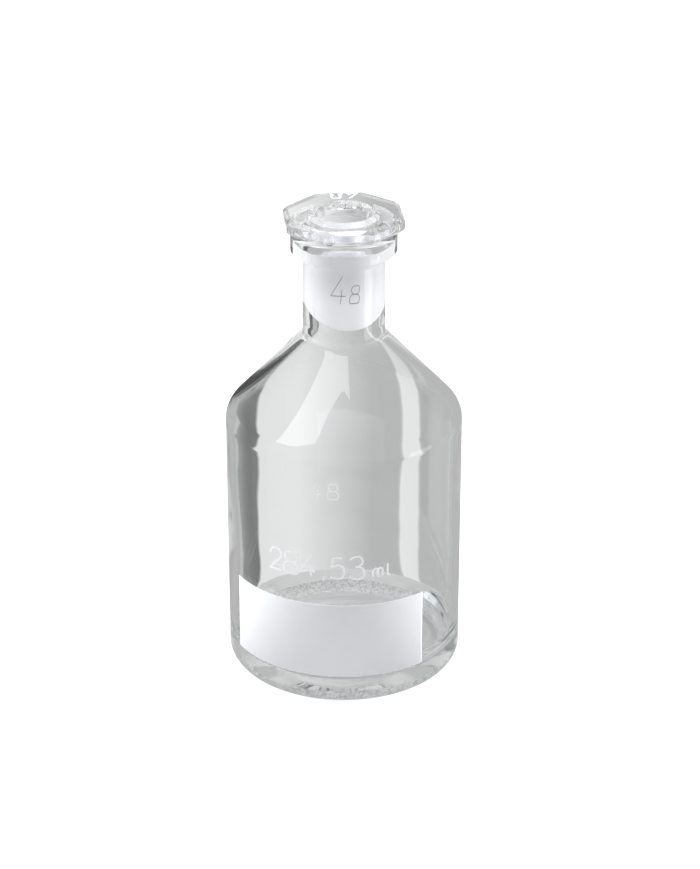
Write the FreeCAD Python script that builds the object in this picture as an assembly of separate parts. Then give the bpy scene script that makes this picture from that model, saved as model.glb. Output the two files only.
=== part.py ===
import FreeCAD, Part

import math
import os

from FreeCAD import Vector

# Oxygen-demand bottle of moulded clear glass with a ground glass stopper.
# Millimetres. +Z runs up the bottle, and the origin is the centre of the
# bearing ring that it stands on. The writing panel faces -Y.

# Bottle body
BODY_DIAMETER = 70.0
BODY_WALL = 2.3            # thickness of the side wall
SHOULDER_HEIGHT = 81.4     # where the side and the shoulder cone would meet
SHOULDER_SLOPE = 47.2      # degrees above the horizontal
SHOULDER_WALL = 2.6        # thickness of the cone, square to it
SHOULDER_ROUND = 6.1       # outside, between side and cone
SHOULDER_ROUND_INSIDE = 6.0

# Bottle base, blown up in the middle so that it stands on a ring
HEEL_ROUND = 4.8
BASE_THICKNESS = 5.2       # at the middle of the floor
BASE_THICKNESS_AT_HEEL = 5.6
FLOOR_ROUND = 8.5          # inside, between floor and side
PUSH_UP_HEIGHT = 2.6
PUSH_UP_ROUND = 14.0
BEARING_RING_WIDTH = 6.2   # flat ring inside the heel round
BEARING_RING_ROUND = 1.6
FLOOR_CROWN_ROUND = 18.0

# Neck and rim
NECK_DIAMETER = 24.2
NECK_FOOT_ROUND = 4.1
NECK_FOOT_ROUND_INSIDE = 5.0
NECK_LENGTH = 23.3         # from the shoulder cone to the rim
RIM_DIAMETER = 31.0
RIM_HEIGHT = 6.8           # at its outside
RIM_UNDERCUT = 1.6         # how far its underside climbs outwards
RIM_TOP_ROUND = 1.4
RIM_EDGE_BEVEL = 0.8       # along its lower edge
MOUTH_FLARE = 1.5          # how much wider than the socket the mouth is
SOCKET_TOP_ROUND = 1.5

# Ground joint: standard 1 in 10 taper, 18.8 mm at its wide end
GROUND_DIAMETER = 18.8
GROUND_TAPER = 0.1         # on the diameter
GROUND_DEPTH_BELOW_RIM = 4.4
GROUND_CLEARANCE = 0.03    # between plug and socket

# Stopper
PLUG_LENGTH = 24.8         # from the wide end of the joint to the foot's tip
FOOT_SLANT = 15.0          # degrees, so that no air is caught under it
FOOT_TIP_DIRECTION = -34.2 # degrees from +X, where the foot reaches lowest
FOOT_BEVEL = 0.4
SHANK_STEP = 0.35          # the pressed shank is wider than the ground plug
SHANK_START = 1.1          # above the wide end of the joint
SHANK_BEVEL = 0.9          # where the shank meets the head
HEAD_GAP = 1.6             # air between the rim and the head
HEAD_THICKNESS = 4.5
HEAD_ACROSS_FLATS = 34.0
HEAD_SIDES = 8
HEAD_CORNER_DIRECTION = 39.3  # degrees from +X, of one corner
HEAD_CORNER_ROUND = 1.6
HEAD_EDGE_BEVEL = 1.1
WELL_MOUTH_DIAMETER = 16.2
WELL_MOUTH_ROUND = 1.8
WELL_WALL = 3.2            # glass between the well and the ground plug
WELL_FLOOR_THICKNESS = 4.0
WELL_FLOOR_ROUND = 2.4
WELL_THROAT_HEIGHT = 2.2   # above the wide end of the joint

# Writing panel of white enamel, fired on the body
PANEL_THICKNESS = 0.12
PANEL_CLEARANCE = 0.03     # between the skin and the glass
PANEL_BOTTOM = 10.0
PANEL_HEIGHT = 23.9
PANEL_ANGLE = 104.0        # degrees round the body

AXIS = Vector(0, 0, 1)
BODY_RADIUS = BODY_DIAMETER / 2
NECK_RADIUS = NECK_DIAMETER / 2
RIM_RADIUS = RIM_DIAMETER / 2
INNER_RADIUS = BODY_RADIUS - BODY_WALL
SLOPE = math.tan(math.radians(SHOULDER_SLOPE))
NECK_FOOT_Z = SHOULDER_HEIGHT + (BODY_RADIUS - NECK_RADIUS) * SLOPE
RIM_BOTTOM_Z = NECK_FOOT_Z + NECK_LENGTH
RIM_TOP_Z = RIM_BOTTOM_Z + RIM_UNDERCUT + RIM_HEIGHT
GROUND_TOP_Z = RIM_TOP_Z - GROUND_DEPTH_BELOW_RIM
HEAD_BOTTOM_Z = RIM_TOP_Z + HEAD_GAP
HEAD_TOP_Z = HEAD_BOTTOM_Z + HEAD_THICKNESS


def rounded_outline(corners):
    """A closed outline in the XZ plane from (radius, height, round) corners."""
    points = [Vector(r, 0, z) for r, z, _ in corners]
    rounds = [corner[2] for corner in corners]
    starts, ends, middles = [], [], []
    for i, point in enumerate(points):
        back = (points[i - 1] - point).normalize()
        ahead = (points[(i + 1) % len(points)] - point).normalize()
        half_turn = back.getAngle(ahead) / 2
        if rounds[i] == 0:
            starts.append(point)
            ends.append(point)
            middles.append(None)
            continue
        reach = rounds[i] / math.tan(half_turn)
        bisector = (back + ahead).normalize()
        centre = point + bisector * (rounds[i] / math.sin(half_turn))
        starts.append(point + back * reach)
        ends.append(point + ahead * reach)
        middles.append(centre - bisector * rounds[i])
    edges = []
    for i, middle in enumerate(middles):
        if middle is not None:
            edges.append(Part.Arc(starts[i], middle, ends[i]).toShape())
        following = starts[(i + 1) % len(points)]
        edges.append(Part.LineSegment(ends[i], following).toShape())
    return Part.Wire(edges)


def turned(corners, angle=360.0):
    """The solid swept by an outline that turns about the bottle's axis."""
    face = Part.Face(rounded_outline(corners))
    return face.revolve(Vector(0, 0, 0), AXIS, angle)


def socket_radius(z):
    """Radius of the ground socket at a height."""
    return (GROUND_DIAMETER - GROUND_TAPER * (GROUND_TOP_Z - z)) / 2


def plug_radius(z):
    """Radius of the ground plug at a height."""
    return socket_radius(z) - GROUND_CLEARANCE


def circle_edges(shape, radius, z):
    """The edges of a shape that are circles about the axis, at a height."""
    found = []
    for edge in shape.Edges:
        box = edge.BoundBox
        level = abs(box.ZMin - z) < 1e-4 and abs(box.ZMax - z) < 1e-4
        across = abs(box.XMax - radius) < 1e-3 and abs(box.XMin + radius) < 1e-3
        if level and across:
            found.append(edge)
    return found


def inner_cone_height(r):
    """Height of the inside of the shoulder cone at a radius."""
    drop = SHOULDER_WALL / math.cos(math.radians(SHOULDER_SLOPE))
    return SHOULDER_HEIGHT + (BODY_RADIUS - r) * SLOPE - drop


def neck_foot_inside():
    """Where the socket's taper runs into the inside of the shoulder cone."""
    taper = GROUND_TAPER / 2
    base = GROUND_DIAMETER / 2 - taper * GROUND_TOP_Z
    r = (base + taper * inner_cone_height(0)) / (1 + taper * SLOPE)
    return r, inner_cone_height(r)


def make_bottle():
    """One blown glass wall: base, heel, side, shoulder, neck and rim."""
    bearing_inner = BODY_RADIUS - HEEL_ROUND - BEARING_RING_WIDTH
    push_up_flat = bearing_inner / 2
    floor_middle = PUSH_UP_HEIGHT + BASE_THICKNESS
    foot_r, foot_z = neck_foot_inside()
    rim_edge_z = RIM_BOTTOM_Z + RIM_UNDERCUT
    outside = [
        (0, PUSH_UP_HEIGHT, 0),
        (push_up_flat, PUSH_UP_HEIGHT, PUSH_UP_ROUND),
        (bearing_inner, 0, BEARING_RING_ROUND),
        (BODY_RADIUS, 0, HEEL_ROUND),
        (BODY_RADIUS, SHOULDER_HEIGHT, SHOULDER_ROUND),
        (NECK_RADIUS, NECK_FOOT_Z, NECK_FOOT_ROUND),
        (NECK_RADIUS, RIM_BOTTOM_Z, 0),
        (RIM_RADIUS - RIM_EDGE_BEVEL, rim_edge_z, 0),
        (RIM_RADIUS, rim_edge_z + RIM_EDGE_BEVEL, 0),
        (RIM_RADIUS, RIM_TOP_Z, RIM_TOP_ROUND),
    ]
    inside = [
        (GROUND_DIAMETER / 2 + MOUTH_FLARE, RIM_TOP_Z, 0),
        (GROUND_DIAMETER / 2, GROUND_TOP_Z, SOCKET_TOP_ROUND),
        (foot_r, foot_z, NECK_FOOT_ROUND_INSIDE),
        (INNER_RADIUS, inner_cone_height(INNER_RADIUS), SHOULDER_ROUND_INSIDE),
        (INNER_RADIUS, BASE_THICKNESS_AT_HEEL, FLOOR_ROUND),
        (bearing_inner, BASE_THICKNESS_AT_HEEL, FLOOR_CROWN_ROUND),
        (push_up_flat, floor_middle, FLOOR_CROWN_ROUND),
        (0, floor_middle, 0),
    ]
    return turned(outside + inside)


def make_head():
    """The stopper's eight-sided head, with its pressed edges bevelled."""
    corner_radius = HEAD_ACROSS_FLATS / 2 / math.cos(math.pi / HEAD_SIDES)
    points = []
    for i in range(HEAD_SIDES + 1):
        turn = math.radians(HEAD_CORNER_DIRECTION + 360.0 * i / HEAD_SIDES)
        x = corner_radius * math.cos(turn)
        y = corner_radius * math.sin(turn)
        points.append(Vector(x, y, HEAD_BOTTOM_Z))
    face = Part.Face(Part.makePolygon(points))
    head = face.extrude(AXIS * HEAD_THICKNESS)
    upright = [edge for edge in head.Edges if edge.BoundBox.ZLength > HEAD_THICKNESS / 2]
    head = head.makeFillet(HEAD_CORNER_ROUND, upright)
    rims = [edge for edge in head.Edges if edge.BoundBox.ZLength < 1e-4]
    return head.makeChamfer(HEAD_EDGE_BEVEL, rims)


def make_plug():
    """The ground plug and its pressed shank, up into the head."""
    tip_z = GROUND_TOP_Z - PLUG_LENGTH
    shank_z = GROUND_TOP_Z + SHANK_START
    shank_radius = plug_radius(shank_z) + SHANK_STEP
    overlap = HEAD_THICKNESS / 2
    plug = turned([
        (0, tip_z, 0),
        (plug_radius(tip_z), tip_z, 0),
        (plug_radius(shank_z - SHANK_STEP), shank_z - SHANK_STEP, 0),
        (shank_radius, shank_z, 0),
        (shank_radius, HEAD_BOTTOM_Z - SHANK_BEVEL, 0),
        (shank_radius + SHANK_BEVEL, HEAD_BOTTOM_Z, 0),
        (shank_radius + SHANK_BEVEL, HEAD_BOTTOM_Z + overlap, 0),
        (0, HEAD_BOTTOM_Z + overlap, 0),
    ])
    return cut_foot(plug, tip_z)


def cut_foot(plug, tip_z):
    """Cuts the foot off aslant, through its tip, and bevels the edge."""
    size = BODY_DIAMETER
    below = Part.makeBox(2 * size, 2 * size, size, Vector(-size, -size, -size))
    below.rotate(Vector(0, 0, 0), Vector(0, 1, 0), FOOT_SLANT)
    below.translate(Vector(plug_radius(tip_z), 0, tip_z))
    below.rotate(Vector(0, 0, 0), AXIS, FOOT_TIP_DIRECTION)
    plug = plug.cut(below)
    sole = min(plug.Faces, key=lambda face: face.CenterOfMass.z)
    return plug.makeChamfer(FOOT_BEVEL, sole.OuterWire.Edges)


def make_stopper():
    """Head and plug pressed in one piece round an open well."""
    stopper = make_head().fuse(make_plug()).removeSplitter()
    tip_z = GROUND_TOP_Z - PLUG_LENGTH
    foot_rise = 2 * plug_radius(tip_z) * math.tan(math.radians(FOOT_SLANT))
    floor_z = tip_z + foot_rise + WELL_FLOOR_THICKNESS
    throat_z = GROUND_TOP_Z + WELL_THROAT_HEIGHT
    mouth_radius = WELL_MOUTH_DIAMETER / 2
    well = turned([
        (0, floor_z, 0),
        (plug_radius(floor_z) - WELL_WALL, floor_z, WELL_FLOOR_ROUND),
        (plug_radius(throat_z) - WELL_WALL, throat_z, 0),
        (mouth_radius, HEAD_TOP_Z, 0),
        (mouth_radius, HEAD_TOP_Z + HEAD_THICKNESS, 0),
        (0, HEAD_TOP_Z + HEAD_THICKNESS, 0),
    ])
    stopper = stopper.cut(well)
    mouth = circle_edges(stopper, mouth_radius, HEAD_TOP_Z)
    return stopper.makeFillet(WELL_MOUTH_ROUND, mouth)


def make_writing_panel():
    """The enamel field, a thin skin on the body's side."""
    top = PANEL_BOTTOM + PANEL_HEIGHT
    back = BODY_RADIUS + PANEL_CLEARANCE
    front = back + PANEL_THICKNESS
    skin = turned([
        (back, PANEL_BOTTOM, 0),
        (front, PANEL_BOTTOM, 0),
        (front, top, 0),
        (back, top, 0),
    ], PANEL_ANGLE)
    skin.rotate(Vector(0, 0, 0), AXIS, -90.0 - PANEL_ANGLE / 2)
    return skin


def brimful_capacity(bottle, stopper):
    """Millilitres that the stoppered bottle holds."""
    top = GROUND_TOP_Z - PLUG_LENGTH / 2
    envelope = Part.makeCylinder(INNER_RADIUS + BODY_WALL / 2, top)
    void = envelope.cut(bottle.fuse(stopper))
    hollow = max(void.Solids, key=lambda solid: solid.Volume)
    return hollow.Volume / 1000


os.makedirs("parts", exist_ok=True)
nodes = {
    "bottle": make_bottle(),
    "stopper": make_stopper(),
    "writing_panel": make_writing_panel(),
}
for name, solid in nodes.items():
    solid.exportStep("parts/" + name + ".step")
    print(name, solid.isValid(), len(solid.Solids), round(solid.Volume / 1000, 2), "ml")
print("capacity", round(brimful_capacity(nodes["bottle"], nodes["stopper"]), 2), "ml")
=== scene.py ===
import bmesh
import bpy
import math
from mathutils import Matrix, Vector, noise


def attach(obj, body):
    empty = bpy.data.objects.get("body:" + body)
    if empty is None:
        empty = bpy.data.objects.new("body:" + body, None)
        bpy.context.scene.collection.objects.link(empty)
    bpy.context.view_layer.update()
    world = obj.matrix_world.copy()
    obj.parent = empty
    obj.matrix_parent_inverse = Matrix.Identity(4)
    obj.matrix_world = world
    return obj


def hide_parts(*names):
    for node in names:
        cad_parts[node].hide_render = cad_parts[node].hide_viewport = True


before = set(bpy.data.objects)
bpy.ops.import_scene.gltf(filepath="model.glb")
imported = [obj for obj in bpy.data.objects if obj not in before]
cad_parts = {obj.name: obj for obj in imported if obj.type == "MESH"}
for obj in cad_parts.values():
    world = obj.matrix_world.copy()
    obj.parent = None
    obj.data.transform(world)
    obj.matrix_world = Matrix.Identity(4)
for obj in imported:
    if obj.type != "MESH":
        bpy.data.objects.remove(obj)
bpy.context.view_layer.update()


# The bottle: one piece of clear soda-lime glass, blown in a mould. Its heavy base has a
# push-up and stands on a stippled ring, and the inside of its neck is ground to a taper
# for the stopper. Where the mould did not touch it, the inner wall is a little uneven.

MM = 0.001
BODY_RADIUS = 35.0
SHOULDER_Z = 81.4
SHOULDER_SLOPE = math.tan(math.radians(47.2))
NECK_RADIUS = 12.1
NECK_FOOT_Z = SHOULDER_Z + (BODY_RADIUS - NECK_RADIUS) * SHOULDER_SLOPE
RIM_RADIUS = 15.5
RIM_SEAM_RADIUS = 12.6
NECK_LENGTH = 23.3
RIM_BOTTOM_Z = NECK_FOOT_Z + NECK_LENGTH
RIM_TOP_Z = RIM_BOTTOM_Z + 8.4
SOCKET_TOP_RADIUS = 9.4
SOCKET_TOP_Z = RIM_TOP_Z - 4.4
GROUND_TAPER = 0.05            # on the radius
GROUND_END_Z = 113.9           # on the axis
GROUND_END_SLOPE = math.tan(math.radians(25.5))
GROUND_END_DIRECTION = math.radians(-66)
INNER_RADIUS = 32.7
SHOULDER_WALL = 2.6
FLOOR_Z = 5.6
STIPPLE_TOP_Z = 5.2
BODY_STEPS = 192


def turn(corners, steps, longest=1.6):
    """Spins a line of (radius, height, round) corners about Z into a surface, in mm."""
    bm = bmesh.new()
    points = [Vector((radius, 0, height)) for radius, height, _ in corners]
    line = [bm.verts.new(point) for point in points]
    for start, end in zip(line, line[1:]):
        bm.edges.new((start, end))
    for i in range(1, len(corners) - 1):
        rounding = corners[i][2]
        if not rounding:
            continue
        corner = (points[i - 1] - points[i]).angle(points[i + 1] - points[i])
        arc = rounding * (math.pi - corner)
        bmesh.ops.bevel(
            bm, geom=[line[i]], offset=rounding / math.tan(corner / 2),
            offset_type="OFFSET", affect="VERTICES",
            segments=max(4, min(12, round(arc / 0.7))), profile=0.5, material=-1)
    for edge in bm.edges[:]:
        cuts = int(edge.calc_length() / longest)
        if cuts:
            bmesh.ops.subdivide_edges(bm, edges=[edge], cuts=cuts)
    bmesh.ops.spin(bm, geom=bm.verts[:] + bm.edges[:], cent=(0, 0, 0), axis=(0, 0, 1),
                   angle=math.tau, steps=steps, use_merge=True)
    bmesh.ops.remove_doubles(bm, verts=bm.verts, dist=0.002)
    bmesh.ops.recalc_face_normals(bm, faces=bm.faces)
    bm.normal_update()
    return bm


def join(bm, other):
    """Adds a second surface to the first and closes the seam between them."""
    mesh = bpy.data.meshes.new("seam")
    other.to_mesh(mesh)
    other.free()
    bm.from_mesh(mesh)
    bpy.data.meshes.remove(mesh)
    bmesh.ops.remove_doubles(bm, verts=bm.verts, dist=0.002)


def make_object(bm, name, materials):
    """Makes a finished bmesh in millimetres into a smooth object in metres."""
    bmesh.ops.scale(bm, vec=(MM, MM, MM), verts=bm.verts)
    bmesh.ops.recalc_face_normals(bm, faces=bm.faces)
    mesh = bpy.data.meshes.new(name)
    bm.to_mesh(mesh)
    bm.free()
    mesh.shade_smooth()
    for material in materials:
        mesh.materials.append(material)
    made = bpy.data.objects.new(name, mesh)
    bpy.context.scene.collection.objects.link(made)
    return made


def linear(code):
    """An sRGB hex colour as the linear RGBA that a node takes."""
    channels = [int(code[i:i + 2], 16) / 255 for i in (1, 3, 5)]
    return tuple(c / 12.92 if c <= 0.04045 else ((c + 0.055) / 1.055) ** 2.4
                 for c in channels) + (1.0,)


def new_material(name):
    """An empty node material, and its node tree."""
    material = bpy.data.materials.new(name)
    material.use_nodes = True
    material.node_tree.nodes.clear()
    return material, material.node_tree


def add_node(tree, kind, settings=None, links=None):
    """Adds a node, sets its inputs or properties, and links outputs to its inputs."""
    node = tree.nodes.new(kind)
    for key, value in (settings or {}).items():
        if isinstance(key, int) or key in node.inputs:
            node.inputs[key].default_value = value
        else:
            setattr(node, key, value)
    for key, source in (links or {}).items():
        tree.links.new(source, node.inputs[key])
    return node


def let_lamps_through(tree, skin, tint):
    """Ends a glass material: lamps shine through it with a tint, so its shadow is pale."""
    lamp_light = add_node(tree, "ShaderNodeBsdfTransparent", {"Color": linear(tint)})
    path = add_node(tree, "ShaderNodeLightPath")
    both = add_node(tree, "ShaderNodeMixShader", {},
                    {0: path.outputs["Is Shadow Ray"], 1: skin.outputs[0],
                     2: lamp_light.outputs[0]})
    add_node(tree, "ShaderNodeOutputMaterial", {}, {"Surface": both.outputs[0]})


def glass(name, wave_size, wave_depth, clearness=1.0, pit_painted_shade=None):
    """Clear soda-lime glass, IOR 1.52, fire-polished: no colour of its own, a mirror-smooth
    skin with the waves that a mould leaves. Where it is stippled, the pits are small and
    steep, and their shade is painted: a noise darkens the base colour in patches beside the
    bright tops."""
    material, tree = new_material(name)
    place = add_node(tree, "ShaderNodeTexCoord")
    waves = add_node(tree, "ShaderNodeTexNoise",
                     {"Scale": 1 / (wave_size * MM), "Detail": 1.0, "Roughness": 0.4},
                     {"Vector": place.outputs["Object"]})
    bump = add_node(tree, "ShaderNodeBump",
                    {"Strength": 1.0, "Distance": wave_depth * MM},
                    {"Height": waves.outputs[0]})
    skin = add_node(tree, "ShaderNodeBsdfPrincipled",
                    {"Base Color": linear("#fcfdfd"), "Roughness": 0.0, "IOR": 1.52,
                     "Transmission Weight": clearness},
                    {"Normal": bump.outputs[0]})
    if pit_painted_shade:
        # Painted shade: where the waves dip, the base colour darkens towards the pit tone, in
        # place of the shade in steep pits.
        pits = add_node(tree, "ShaderNodeMapRange", {"From Min": 0.44, "From Max": 0.54},
                        {"Value": waves.outputs[0]})
        tone = add_node(tree, "ShaderNodeMixRGB",
                        {1: linear(pit_painted_shade), 2: linear("#fcfdfd")}, {0: pits.outputs[0]})
        tree.links.new(tone.outputs[0], skin.inputs["Base Color"])
    let_lamps_through(tree, skin, "#f4f5f5")
    return material


def ground_glass():
    """Ground soda-lime glass: carborundum grit of about 0.05 mm leaves it matt and white,
    so light goes through it scattered. It also has a painted glow, an emission that grows
    lower down, which stands in for light from the clear neck below.
    The grain is drawn at 0.4 mm so that it shows."""
    material, tree = new_material("ground soda-lime glass")
    place = add_node(tree, "ShaderNodeTexCoord")
    grain = add_node(tree, "ShaderNodeTexNoise",
                     {"Scale": 1 / (0.4 * MM), "Detail": 2.0},
                     {"Vector": place.outputs["Object"]})
    bump = add_node(tree, "ShaderNodeBump", {"Strength": 0.25, "Distance": 0.05 * MM},
                    {"Height": grain.outputs[0]})
    xyz = add_node(tree, "ShaderNodeSeparateXYZ", {}, {0: place.outputs["Object"]})
    # Painted glow: the emission rises from 0.18 at the top of the ground zone to 0.31 lower
    # down, in place of light from the clear neck below.
    painted_glow_by_height = add_node(tree, "ShaderNodeMapRange", {
        "From Min": 126 * MM, "From Max": 117.5 * MM, "To Min": 0.18, "To Max": 0.31},
        {"Value": xyz.outputs["Z"]})
    skin = add_node(tree, "ShaderNodeBsdfPrincipled",
                    {"Base Color": linear("#cfcfd2"), "Roughness": 0.5, "IOR": 1.52,
                     "Transmission Weight": 0.3, "Emission Color": linear("#ffffff")},
                    {"Normal": bump.outputs[0], "Emission Strength": painted_glow_by_height.outputs[0]})
    let_lamps_through(tree, skin, "#c8cacb")
    return material


def shoulder_inside(radius):
    """Height of the shoulder's inner face, one wall inside the outer one."""
    return (SHOULDER_Z + (BODY_RADIUS - radius) * SHOULDER_SLOPE
            - SHOULDER_WALL * math.hypot(1, SHOULDER_SLOPE))


bm = turn([
    (0, 2.6, 0), (12.0, 2.6, 14.0), (24.0, 0, 1.6), (BODY_RADIUS, 0, 4.8),
    (BODY_RADIUS, SHOULDER_Z, 6.1), (NECK_RADIUS, NECK_FOOT_Z, 4.1),
    (NECK_RADIUS, RIM_BOTTOM_Z, 0.5), (RIM_RADIUS - 0.8, RIM_BOTTOM_Z + 1.6, 0.5),
    (RIM_RADIUS, RIM_BOTTOM_Z + 2.4, 0.6), (RIM_RADIUS, RIM_TOP_Z, 1.4),
    (RIM_SEAM_RADIUS, RIM_TOP_Z, 0)], BODY_STEPS)
inside = turn([
    (RIM_SEAM_RADIUS, RIM_TOP_Z, 0), (SOCKET_TOP_RADIUS + 1.5, RIM_TOP_Z, 0.5),
    (SOCKET_TOP_RADIUS, SOCKET_TOP_Z, 1.5), (8.063, shoulder_inside(8.063), 5.0),
    (INNER_RADIUS, shoulder_inside(INNER_RADIUS), 6.0), (INNER_RADIUS, FLOOR_Z, 8.5),
    (24.0, FLOOR_Z, 18.0),
    (12.0, 7.8, 18.0), (0, 7.8, 0)], BODY_STEPS)
SLOW_UNEVENNESS, QUICK_UNEVENNESS, FLOOR_UNEVENNESS = 0.16, 0.02, 0.2
OUTSIDE_UNEVENNESS = 0.04
for v in inside.verts:
    if v.co.z > NECK_FOOT_Z or v.co.xy.length < 2:
        continue
    slow = noise.noise(Vector((v.co.x / 22, v.co.y / 22, v.co.z / 34)))
    quick = noise.noise(Vector((v.co.x / 7, v.co.y / 7, v.co.z / 6 + 40)))
    near_floor = max(0.0, 1 - abs(v.co.z - 12) / 7)
    v.co += v.normal * (SLOW_UNEVENNESS * slow
                        + (QUICK_UNEVENNESS + FLOOR_UNEVENNESS * near_floor) * quick)
for v in bm.verts:
    slow = noise.noise(Vector((v.co.x / 26, v.co.y / 26, v.co.z / 40 + 90)))
    if 8 < v.co.z < NECK_FOOT_Z:
        v.co -= v.normal * OUTSIDE_UNEVENNESS * (1 + slow)
ground_end = Vector((0, 0, GROUND_END_Z))
upward = Vector((GROUND_END_SLOPE * math.cos(GROUND_END_DIRECTION),
                 GROUND_END_SLOPE * math.sin(GROUND_END_DIRECTION), 1)).normalized()
bmesh.ops.bisect_plane(inside, geom=inside.verts[:] + inside.edges[:] + inside.faces[:],
                       dist=0.0001, plane_co=ground_end, plane_no=upward)
join(bm, inside)
for face in bm.faces:
    middle = face.calc_center_median()
    if (middle.xy.length < SOCKET_TOP_RADIUS + 0.1 and middle.z < SOCKET_TOP_Z - 0.2
            and upward.dot(middle - ground_end) > 0):
        face.material_index = 1
    elif 0.3 < middle.z < STIPPLE_TOP_Z and middle.xy.length > 31 and face.normal.dot(
            Vector((middle.x, middle.y, 0))) > 0:
        face.material_index = 2

clear_glass = glass("clear soda-lime glass", wave_size=9, wave_depth=0.012)
matt_glass = ground_glass()
stippled_glass = glass("stippled soda-lime glass", wave_size=0.7, wave_depth=0.3,
                       clearness=0.8, pit_painted_shade="#bcbec0")
bottle = make_object(bm, "bottle_glass", [clear_glass, matt_glass, stippled_glass])
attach(bottle, "bottle")
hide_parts("bottle")


# The writing panel: white enamel, screened on the side of the body and fired, so that a
# pencil marks it. It is a skin a tenth of a millimetre thick with softly rounded edges.

PANEL_INSIDE = BODY_RADIUS + 0.03
PANEL_OUTSIDE = BODY_RADIUS + 0.14
PANEL_BOTTOM = 10.0
PANEL_TOP = 33.9
PANEL_HALF_ANGLE = math.radians(52)
PANEL_STEPS = 120


def white_enamel(added_glow):
    """White vitreous enamel: titania in a lead-free frit, screened through a mesh and fired
    matt. It is even and opaque, with a faint cloud where the coat is thinner. A thin line of
    it gets a painted glow, an emission that stands in for light from the glass behind it."""
    material, tree = new_material("white vitreous enamel")
    place = add_node(tree, "ShaderNodeTexCoord")
    cloud = add_node(tree, "ShaderNodeTexNoise", {"Scale": 1 / (6 * MM), "Detail": 3.0},
                     {"Vector": place.outputs["Object"]})
    colour = add_node(tree, "ShaderNodeValToRGB", {}, {"Fac": cloud.outputs[0]})
    colour.color_ramp.elements[0].color = linear("#e2e3e6")
    colour.color_ramp.elements[1].color = linear("#e8e9eb")
    tooth = add_node(tree, "ShaderNodeTexNoise", {"Scale": 1 / (0.5 * MM), "Detail": 2.0},
                     {"Vector": place.outputs["Object"]})
    bump = add_node(tree, "ShaderNodeBump", {"Strength": 0.2, "Distance": 0.03 * MM},
                    {"Height": tooth.outputs[0]})
    skin = add_node(tree, "ShaderNodeBsdfPrincipled",
                    {"Roughness": 0.6, "IOR": 1.5, "Emission Color": linear("#ffffff"),
                     "Emission Strength": added_glow},
                    {"Base Color": colour.outputs[0], "Normal": bump.outputs[0]})
    add_node(tree, "ShaderNodeOutputMaterial", {}, {"Surface": skin.outputs[0]})
    return material


bm = bmesh.new()
section = [bm.verts.new((radius, 0, height)) for radius, height in (
    (PANEL_INSIDE, PANEL_BOTTOM), (PANEL_OUTSIDE - 0.05, PANEL_BOTTOM),
    (PANEL_OUTSIDE, PANEL_BOTTOM + 0.08), (PANEL_OUTSIDE, PANEL_TOP - 0.08),
    (PANEL_OUTSIDE - 0.05, PANEL_TOP), (PANEL_INSIDE, PANEL_TOP))]
start_face = bm.faces.new(section)
bmesh.ops.rotate(bm, verts=bm.verts, cent=(0, 0, 0),
                 matrix=Matrix.Rotation(
                     -math.pi / 2 - PANEL_HALF_ANGLE, 3, "Z"))
bmesh.ops.spin(bm, geom=[start_face] + start_face.verts[:] + start_face.edges[:],
               cent=(0, 0, 0), axis=(0, 0, 1), angle=2 * PANEL_HALF_ANGLE,
               steps=PANEL_STEPS, use_merge=False)
enamel = white_enamel(0.0)
panel = make_object(bm, "writing_panel_enamel", [enamel])
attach(panel, "bottle")
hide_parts("writing_panel")


# The printed numbers: the same white enamel with a painted glow, screened in thin lines
# above the panel. They are the bottle's own number, 48, and what it holds to the foot of its
# stopper.

# Each character as strokes through (x, y) points, in heights of a digit.
STROKES = {
    "2": [[(0.02, 0.74), (0.04, 1.02), (0.58, 1.06), (0.60, 0.62), (0.36, 0.42), (0, 0)],
          [(0, 0), (0.62, 0)]],
    "4": [[(0.44, 1), (0, 0.27)], [(0, 0.27), (0.66, 0.27)], [(0.47, 0.52), (0.47, 0)]],
    "5": [[(0.55, 1), (0.12, 1)], [(0.12, 1), (0.06, 0.53)],
          [(0.06, 0.53), (0.25, 0.68), (0.60, 0.60), (0.62, 0.12), (0.36, -0.06),
           (0.0, 0.06)]],
    "8": [[(0.31, 0.53), (0.02, 0.56), (0.02, 1.0), (0.31, 1.02), (0.60, 1.0),
           (0.60, 0.56), (0.31, 0.53), (-0.03, 0.50), (-0.06, -0.02), (0.31, -0.02),
           (0.68, -0.02), (0.65, 0.50), (0.31, 0.53)]],
    "3": [[(0.03, 0.90), (0.12, 1.04), (0.56, 1.06), (0.60, 0.58), (0.26, 0.54)],
          [(0.26, 0.54), (0.66, 0.56), (0.66, -0.04), (0.12, -0.06), (0.0, 0.12)]],
    ",": [[(0.12, 0.07), (0.03, -0.14)]],
    "m": [[(0, 0.37), (0, 0)],
          [(0, 0.22), (0.04, 0.40), (0.22, 0.40), (0.22, 0.2), (0.22, 0)],
          [(0.22, 0.22), (0.26, 0.40), (0.44, 0.40), (0.44, 0.2), (0.44, 0)]],
    "l": [[(0, 0.56), (0, 0.1), (0.02, -0.01), (0.12, 0.01)]],
}


def lettering(name, glyphs, height, line_width):
    """A flat mesh of numbers in XY, centred on X: glyphs are (character, left edge, scale)."""
    curve = bpy.data.curves.new(name, "CURVE")
    curve.dimensions = "3D"
    curve.bevel_depth = line_width / 2
    curve.bevel_resolution = 1
    curve.use_fill_caps = True
    curve.resolution_u = 5
    for character, left, scale in glyphs:
        for stroke in STROKES[character]:
            spline = curve.splines.new("NURBS")
            spline.points.add(len(stroke) - 1)
            for point, (x, y) in zip(spline.points, stroke):
                point.co = (left + x * height * scale, y * height * scale, 0, 1)
            spline.order_u = 3
            spline.use_endpoint_u = True
    drawn = bpy.data.objects.new(name, curve)
    mesh = bpy.data.meshes.new_from_object(drawn)
    bm = bmesh.new()
    bm.from_mesh(mesh)
    bpy.data.objects.remove(drawn)
    bpy.data.curves.remove(curve)
    bpy.data.meshes.remove(mesh)
    return bm


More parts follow.
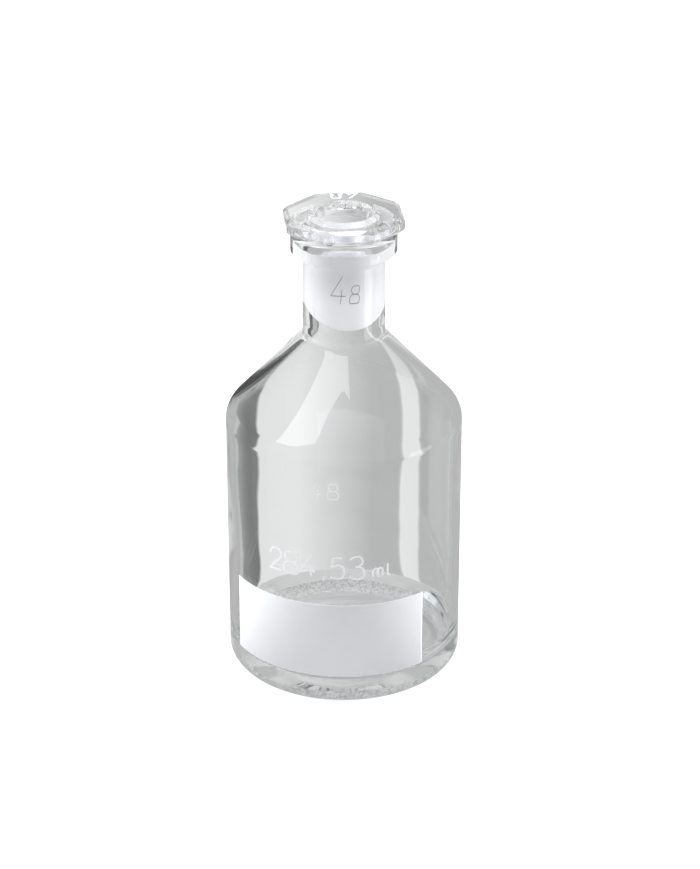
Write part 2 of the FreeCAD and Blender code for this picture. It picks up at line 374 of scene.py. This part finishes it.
def wrap(bm, radius, turn_to, base, thickness, slant=0.0):
    """Bends flat numbers round the Z axis, in mm: X runs along the girth, Y upwards."""
    for v in bm.verts:
        angle = (v.co.x + slant * v.co.y) / radius + turn_to
        out = radius + thickness * (1 if v.co.z > 0 else 0)
        v.co = (out * math.sin(angle), -out * math.cos(angle), base + v.co.y)


PRINT_THICKNESS = 0.012

# Painted glow: the thin printed lines emit 0.13, in place of light from the glass behind them.
thin_enamel_painted_glow = white_enamel(0.13)
bm = lettering("body_number", [("4", -3.1, 1), ("8", 2.1, 1)], 4.6, 0.5)
wrap(bm, BODY_RADIUS + 0.01, 0, 68.6, PRINT_THICKNESS)
number = make_object(bm, "printed_body_number", [thin_enamel_painted_glow])
number.data.shade_flat()
number.visible_glossy = number.visible_shadow = False
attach(number, "bottle")

bm = lettering("capacity", [
    ("2", -16.6, 1), ("8", -11.4, 1), ("4", -6.2, 1), (",", 0.2, 1), ("5", 2.6, 1),
    ("3", 8.2, 1), ("m", 15.1, 1), ("l", 19.6, 1)], 6.7, 0.6)
wrap(bm, BODY_RADIUS + 0.01, 0, 42.9, PRINT_THICKNESS)
capacity = make_object(bm, "printed_capacity", [thin_enamel_painted_glow])
capacity.data.shade_flat()
capacity.visible_glossy = capacity.visible_shadow = False
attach(capacity, "bottle")


# The stopper: one piece of pressed clear glass, hollow from the top. Its head is eight-sided
# for the fingers, its plug is ground to the neck's taper, and its foot is ground off aslant,
# so that the water under it lets every bubble out.

PLUG_GAP = 0.03
FOOT_TIP_Z = SOCKET_TOP_Z - 23.4
WELL_BOTTOM_Z = FOOT_TIP_Z + 7.6
HEAD_BOTTOM_Z = RIM_TOP_Z + 0.8
HEAD_TOP_Z = HEAD_BOTTOM_Z + 4.5
HEAD_HALF_WIDTH = 17.0
HEAD_CORNER_ROUND = 1.6
HEAD_CORNER_DIRECTION = math.radians(39.3)
HEAD_EDGE = 1.1
HEAD_SEAM_RADIUS = 12.0
SHANK_RADIUS = 9.77
STOPPER_STEPS = 256


def plug_radius(height):
    """Radius of the ground plug, which fits the socket's 1 in 10 taper."""
    return SOCKET_TOP_RADIUS - GROUND_TAPER * (SOCKET_TOP_Z - height) - PLUG_GAP


def octagon_radius(angle):
    """Distance from the axis to the head's side, whose eight corners are rounded."""
    eighth = math.radians(22.5)
    off_corner = abs((angle + eighth) % (2 * eighth) - eighth)
    centre = (HEAD_HALF_WIDTH - HEAD_CORNER_ROUND) / math.cos(eighth)
    tangent = math.atan2(HEAD_CORNER_ROUND * math.sin(eighth),
                         centre + HEAD_CORNER_ROUND * math.cos(eighth))
    if off_corner < tangent:
        across = centre * math.sin(off_corner)
        return (centre * math.cos(off_corner)
                + math.sqrt(HEAD_CORNER_ROUND ** 2 - across ** 2))
    return HEAD_HALF_WIDTH / math.cos(eighth - off_corner)


bm = turn([
    (0, FOOT_TIP_Z, 0), (plug_radius(FOOT_TIP_Z), FOOT_TIP_Z, 0.45),
    (plug_radius(SOCKET_TOP_Z), SOCKET_TOP_Z, 0.3), (SHANK_RADIUS, SOCKET_TOP_Z + 1.1, 0.8),
    (SHANK_RADIUS, HEAD_BOTTOM_Z - 0.9, 0.5), (SHANK_RADIUS + 0.9, HEAD_BOTTOM_Z, 0.5),
    (HEAD_HALF_WIDTH - HEAD_EDGE, HEAD_BOTTOM_Z, 0.5),
    (HEAD_HALF_WIDTH, HEAD_BOTTOM_Z + HEAD_EDGE, 0.5),
    (HEAD_HALF_WIDTH, HEAD_TOP_Z - HEAD_EDGE, 0.5),
    (HEAD_HALF_WIDTH - HEAD_EDGE, HEAD_TOP_Z, 0.5),
    (HEAD_SEAM_RADIUS, HEAD_TOP_Z, 0)], STOPPER_STEPS, longest=1.2)
well = turn([
    (HEAD_SEAM_RADIUS, HEAD_TOP_Z, 0), (8.1, HEAD_TOP_Z, 1.8), (6.28, SOCKET_TOP_Z + 2.2, 6.0),
    (plug_radius(WELL_BOTTOM_Z) - 3.2, WELL_BOTTOM_Z, 2.4), (0, WELL_BOTTOM_Z, 0)],
    STOPPER_STEPS, longest=1.2)

for v in bm.verts:
    radius = v.co.xy.length
    if v.co.z > HEAD_BOTTOM_Z - 0.01 and radius > HEAD_SEAM_RADIUS:
        angle = math.atan2(v.co.y, v.co.x)
        share = (radius - HEAD_SEAM_RADIUS) / (HEAD_HALF_WIDTH - HEAD_SEAM_RADIUS)
        v.co.xy *= (radius + (octagon_radius(angle) - HEAD_HALF_WIDTH) * share) / radius
bmesh.ops.rotate(bm, verts=bm.verts, cent=(0, 0, 0),
                 matrix=Matrix.Rotation(HEAD_CORNER_DIRECTION, 3, "Z"))
for v in bm.verts:
    if v.co.z < SOCKET_TOP_Z:
        along = (v.co.x * math.cos(GROUND_END_DIRECTION)
                 + v.co.y * math.sin(GROUND_END_DIRECTION))
        share = (SOCKET_TOP_Z - v.co.z) / (SOCKET_TOP_Z - FOOT_TIP_Z)
        raised = v.co.z + share * GROUND_END_SLOPE * (plug_radius(FOOT_TIP_Z) - along)
        v.co.xy *= plug_radius(raised) / plug_radius(v.co.z)
        v.co.z = raised
bmesh.ops.rotate(well, verts=well.verts, cent=(0, 0, 0),
                 matrix=Matrix.Rotation(HEAD_CORNER_DIRECTION, 3, "Z"))
bm.normal_update()
for v in bm.verts:
    if v.co.z > HEAD_BOTTOM_Z - 0.5 and v.co.xy.length > 12.5:
        v.co -= v.normal * 0.02 * (1 + noise.noise(v.co / 4))
for v in well.verts:
    if v.co.z < HEAD_TOP_Z - 0.5:
        v.co += v.normal * 0.06 * noise.noise(v.co / 5)
join(bm, well)
bm.normal_update()
for face in bm.faces:
    middle = face.calc_center_median()
    if middle.z < SOCKET_TOP_Z and (
            middle.xy.length > plug_radius(middle.z) - 0.5
            or face.normal.z < -0.5 and middle.z < WELL_BOTTOM_Z - 0.3):
        face.material_index = 1

stopper = make_object(bm, "stopper_glass", [clear_glass, matt_glass])
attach(stopper, "stopper")
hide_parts("stopper")


# The pair's numbers: the stopper is ground in with one bottle and stays with it, so the 48 is
# also in white enamel on its head and scratched by hand on the bottle's neck.

CAMERA_AZIMUTH = math.radians(10.8)
HEAD_NUMBER_OUT = 16.2

bm = lettering("head_number", [("4", -4.3, 1), ("8", 1.0, 1)], 5.4, 0.8)
bmesh.ops.scale(bm, vec=(0.85, 1, 1), verts=bm.verts)
for v in bm.verts:
    v.co = (-v.co.x, -v.co.y, HEAD_TOP_Z + (0.06 if v.co.z > 0 else -0.02))
bmesh.ops.translate(bm, vec=(0, HEAD_NUMBER_OUT, 0), verts=bm.verts)
bmesh.ops.rotate(bm, verts=bm.verts, cent=(0, 0, 0),
                 matrix=Matrix.Rotation(CAMERA_AZIMUTH, 3, "Z"))
head_number = make_object(bm, "head_number_enamel", [enamel])
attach(head_number, "stopper")


def scratch():
    """A scratch in the glass of the neck, cut with a diamond point: a rough groove that
    looks like a thin grey pencil line against the ground glass behind it."""
    material, tree = new_material("diamond scratch in glass")
    skin = add_node(tree, "ShaderNodeBsdfPrincipled",
                    {"Base Color": linear("#88898c"), "Roughness": 0.5})
    add_node(tree, "ShaderNodeOutputMaterial", {}, {"Surface": skin.outputs[0]})
    return material


bm = lettering("neck_number", [("4", 0, 1), ("8", 7.4, 0.62)], 8.4, 0.22)
bmesh.ops.scale(bm, vec=(0.78, 1, 1), verts=bm.verts)
wrap(bm, NECK_RADIUS + 0.01, CAMERA_AZIMUTH - math.radians(19), 119.6, PRINT_THICKNESS, 0.1)
neck_number = make_object(bm, "neck_number_scratched", [scratch()])
neck_number.data.shade_flat()
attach(neck_number, "bottle")


# The floor of the studio: matt white card. It shows white to the camera and keeps the
# bottle's shadow, and looks duller in glass. Close behind the bottle stands a curved card of
# three plain tones that only glass sees, so that clear glass shows against white.

FLOOR_SIZE = 6.0


def seen_in_glass(tree):
    """The light path node, and 1 for a ray that was last mirrored or let through by glass."""
    path = add_node(tree, "ShaderNodeLightPath")
    seen = add_node(tree, "ShaderNodeMath", {"operation": "ADD"},
                    {0: path.outputs["Is Glossy Ray"], 1: path.outputs["Is Transmission Ray"]})
    return path, seen.outputs[0]


def studio_place(tree):
    """Object coordinates turned so that X runs to the studio's right and Y to its back."""
    place = add_node(tree, "ShaderNodeTexCoord")
    turned = add_node(tree, "ShaderNodeMapping", {"Rotation": (0, 0, -CAMERA_AZIMUTH)},
                      {"Vector": place.outputs["Object"]})
    return add_node(tree, "ShaderNodeSeparateXYZ", {}, {0: turned.outputs[0]})


bm = bmesh.new()
bmesh.ops.create_grid(bm, x_segments=1, y_segments=1, size=FLOOR_SIZE / 2 / MM)
bmesh.ops.translate(bm, vec=(0, 0, -0.2), verts=bm.verts)
card, tree = new_material("matt white card")
path, seen = seen_in_glass(tree)
paper = add_node(tree, "ShaderNodeBsdfDiffuse", {"Color": linear("#bcbdbe")})
in_glass = add_node(tree, "ShaderNodeMath", {"operation": "MULTIPLY", 1: 0.05}, {0: seen})
strength = add_node(tree, "ShaderNodeMath", {"operation": "MULTIPLY_ADD", 1: 0.42},
                    {0: path.outputs["Is Camera Ray"], 2: in_glass.outputs[0]})
added_glow = add_node(tree, "ShaderNodeEmission", {}, {"Strength": strength.outputs[0]})
dull = add_node(tree, "ShaderNodeBsdfDiffuse", {"Color": linear("#8c8c8c")})
either = add_node(tree, "ShaderNodeMixShader", {},
                  {0: seen, 1: paper.outputs[0], 2: dull.outputs[0]})
both = add_node(tree, "ShaderNodeAddShader", {}, {0: either.outputs[0], 1: added_glow.outputs[0]})
add_node(tree, "ShaderNodeOutputMaterial", {}, {"Surface": both.outputs[0]})
floor = make_object(bm, "floor", [card])

CARD_RADIUS = 45.0
CARD_HEIGHT = 166.0
CARD_START, CARD_END = -130.0, 92.0     # degrees right of straight behind the bottle
WHITE, GREY, BLACK = "#f0f0f0", "#b8b8b8", "#505050"
CARD_TONES = [(-130, GREY), (-61, GREY), (-60, BLACK), (-42, BLACK), (-41, WHITE),
              (-20, WHITE), (12, GREY), (25, GREY), (26, WHITE), (34, WHITE), (35, GREY)]
bm = bmesh.new()
edge = bm.edges.new([bm.verts.new((CARD_RADIUS, 0, z)) for z in (0, CARD_HEIGHT)])
bmesh.ops.rotate(bm, verts=bm.verts, cent=(0, 0, 0), matrix=Matrix.Rotation(
    CAMERA_AZIMUTH + math.radians(90 - CARD_END), 3, "Z"))
bmesh.ops.spin(bm, geom=bm.verts[:] + bm.edges[:], cent=(0, 0, 0), axis=(0, 0, 1),
               angle=math.radians(CARD_END - CARD_START), steps=100, use_merge=False)
card, tree = new_material("three-tone card")
xyz = studio_place(tree)
angle = add_node(tree, "ShaderNodeMath", {"operation": "ARCTAN2"},
                 {0: xyz.outputs["X"], 1: xyz.outputs["Y"]})
share = add_node(tree, "ShaderNodeMapRange",
                 {"From Min": math.radians(CARD_START), "From Max": math.radians(CARD_END)},
                 {"Value": angle.outputs[0]})
ramp = add_node(tree, "ShaderNodeValToRGB", {}, {"Fac": share.outputs[0]})
stops = ramp.color_ramp.elements
while len(stops) < len(CARD_TONES):
    stops.new(0.5)
for stop, (degrees, tone) in zip(stops, CARD_TONES):
    stop.position = (degrees - CARD_START) / (CARD_END - CARD_START)
for stop, (degrees, tone) in zip(stops, CARD_TONES):
    stop.color = linear(tone)
glow = add_node(tree, "ShaderNodeEmission", {"Strength": 1.0}, {"Color": ramp.outputs[0]})
add_node(tree, "ShaderNodeOutputMaterial", {}, {"Surface": glow.outputs[0]})
studio_card = make_object(bm, "studio_card", [card])
studio_card.visible_camera = studio_card.visible_diffuse = studio_card.visible_shadow = False


# The light: a large softbox high at the left makes the broad highlight on the shoulder, and a
# small one low at the right the bright line on the neck. Two lamps light the enamel and the
# ground glass from both sides.

AIM_HEIGHT = 110


def studio(right, away, up):
    """A place in the studio, in metres: mm to the camera's right, away from it, and up."""
    return Matrix.Rotation(CAMERA_AZIMUTH, 3, "Z") @ Vector((right, away, up)) * MM


def toward(azimuth, elevation, distance):
    """A place that many mm from the bottle, at degrees right of the camera and up."""
    around, up = math.radians(azimuth), math.radians(elevation)
    return studio(math.sin(around) * math.cos(up) * distance,
                  -math.cos(around) * math.cos(up) * distance,
                  math.sin(up) * distance + AIM_HEIGHT)


def softbox(name, azimuth, elevation, distance, width, height, radiance, on_glass):
    """A rectangular soft lamp, for the glass to mirror or else to light matt surfaces."""
    lamp = bpy.data.lights.new(name, "AREA")
    lamp.shape = "RECTANGLE"
    lamp.size, lamp.size_y = width * MM, height * MM
    lamp.energy = radiance * math.pi * lamp.size * lamp.size_y
    box = bpy.data.objects.new(name, lamp)
    bpy.context.scene.collection.objects.link(box)
    box.location = toward(azimuth, elevation, distance)
    aim = studio(0, 0, AIM_HEIGHT) - box.location
    box.rotation_euler = aim.to_track_quat("-Z", "Y").to_euler()
    box.visible_camera = False
    box.visible_diffuse = not on_glass
    box.visible_glossy = on_glass
    box.visible_transmission = False


KEY_RIGHT, KEY_AWAY, KEY_UP = -280, -9, 442
KEY_TILT = math.radians(38.5)          # how steeply the key rises to the right
KEY_CORNERS = [(-360, 460), (-262, 180), (-215, 60), (-150, -80), (500, -289), (500, 460)]
bm = bmesh.new()
bm.faces.new([bm.verts.new(studio(KEY_RIGHT + math.cos(KEY_TILT) * along, KEY_AWAY + away,
                                  KEY_UP + math.sin(KEY_TILT) * along) / MM)
              for away, along in KEY_CORNERS])
cloth, tree = new_material("softbox cloth")
glow = add_node(tree, "ShaderNodeEmission", {"Strength": 4.0})
add_node(tree, "ShaderNodeOutputMaterial", {}, {"Surface": glow.outputs[0]})
key = make_object(bm, "key_softbox", [cloth])
key.visible_camera = key.visible_diffuse = key.visible_shadow = False
key.visible_transmission = False

softbox("strip_lamp", 68, -19, 150, 60, 40, 2.0, True)
softbox("left_lamp", -115, 30, 800, 500, 500, 15.5, False)
softbox("right_lamp", 108, 20, 800, 300, 500, 18.0, False)

SKY_ON_MATT, SKY_IN_GLASS = 0.68, 0.66

world = bpy.data.worlds.new("studio")
bpy.context.scene.world = world
world.use_nodes = True
tree = world.node_tree
tree.nodes.clear()
path, seen = seen_in_glass(tree)
in_glass = add_node(tree, "ShaderNodeMath",
                    {"operation": "MULTIPLY_ADD", 1: SKY_IN_GLASS - SKY_ON_MATT, 2: SKY_ON_MATT},
                    {0: seen})
strength = add_node(tree, "ShaderNodeMath", {"operation": "MAXIMUM"},
                    {0: path.outputs["Is Camera Ray"], 1: in_glass.outputs[0]})
sky = add_node(tree, "ShaderNodeBackground", {"Color": linear("#ffffff")},
               {"Strength": strength.outputs[0]})
add_node(tree, "ShaderNodeOutputWorld", {}, {"Surface": sky.outputs[0]})

scene = bpy.context.scene
scene.view_settings.view_transform = "Standard"
GLASS_BOUNCES = 24                     # enough to get through eight surfaces of glass
scene.cycles.max_bounces = GLASS_BOUNCES
scene.cycles.transmission_bounces = GLASS_BOUNCES
scene.cycles.glossy_bounces = GLASS_BOUNCES


# The camera: a long lens a little above the bottle and to the right of the panel's middle,
# as in the photograph.

PICTURE_HEIGHT = 869
FOCAL_PIXELS = 2679
SENSOR = 36
CAMERA_ELEVATION = math.radians(25.25)
AIM_Z = 72.6
AIM_RIGHT = 1.78
CAMERA_DISTANCE = 796

right = Vector((math.cos(CAMERA_AZIMUTH), math.sin(CAMERA_AZIMUTH), 0))
back = Vector((math.sin(CAMERA_AZIMUTH) * math.cos(CAMERA_ELEVATION),
               -math.cos(CAMERA_AZIMUTH) * math.cos(CAMERA_ELEVATION),
               math.sin(CAMERA_ELEVATION)))
aim = Vector((0, 0, AIM_Z * MM)) + right * AIM_RIGHT * MM
lens = bpy.data.cameras.new("camera")
lens.sensor_width = SENSOR
lens.lens = FOCAL_PIXELS * SENSOR / PICTURE_HEIGHT
camera = bpy.data.objects.new("camera", lens)
bpy.context.scene.collection.objects.link(camera)
camera.location = aim + back * CAMERA_DISTANCE * MM
camera.rotation_euler = (-back).to_track_quat("-Z", "Y").to_euler()
scene.camera = camera
